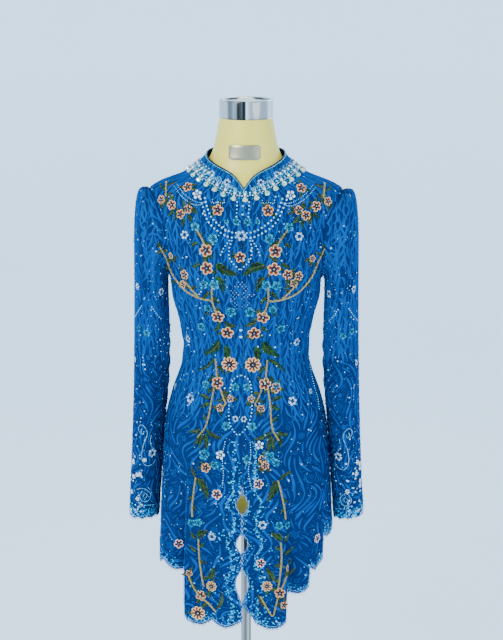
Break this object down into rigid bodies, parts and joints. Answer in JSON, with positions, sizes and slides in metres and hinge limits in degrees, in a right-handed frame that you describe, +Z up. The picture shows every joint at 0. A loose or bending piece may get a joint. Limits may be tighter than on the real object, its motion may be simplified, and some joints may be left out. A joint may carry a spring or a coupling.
{
  "type": "kebaya blouse on a limbless dress form",
  "caption": "Fitted long-sleeved lace kebaya blouse with a beaded stand collar and scalloped hem, on a limbless dress form with a pole and round base.",
  "frame": {"origin": "on the floor under the middle of the pole", "axes": "+Z up, -Y the way the blouse faces, +X its wearer's left"},
  "size_m": [0.476, 0.4, 1.514],
  "materials": {
    "lace": "corded lace on net, soft sheen",
    "pearl": "pearlescent",
    "chrome": "polished",
    "cream": "satin cover",
    "zip": "woven tape and moulded slider"
  },
  "bodies": {
    "blouse_on_form": {"back_left": "lace", "back_right": "lace", "base_plate": "chrome", "base_socket": "chrome", "collar_left": "lace", "collar_right": "lace", "dress_form": "cream", "front_left": "lace", "front_right": "lace", "neck_cap": "chrome", "neck_plate": "chrome", "necklace_left": "pearl", "necklace_right": "pearl", "pole": "chrome", "pole_flange": "chrome", "sleeve_left": "lace", "sleeve_right": "lace", "zip_slider": "zip", "zip_tape": "zip"},
    "zip_pull": {"zip_pull": "chrome"}
  },
  "joints": [
    {"name": "pull_tab_hinge", "type": "hinge", "parent": "blouse_on_form", "child": "zip_pull", "pos_m": [0, 0.06097, 1.40975], "axis": [1, 0, 0], "range_deg": [0, 150]}
  ]
}
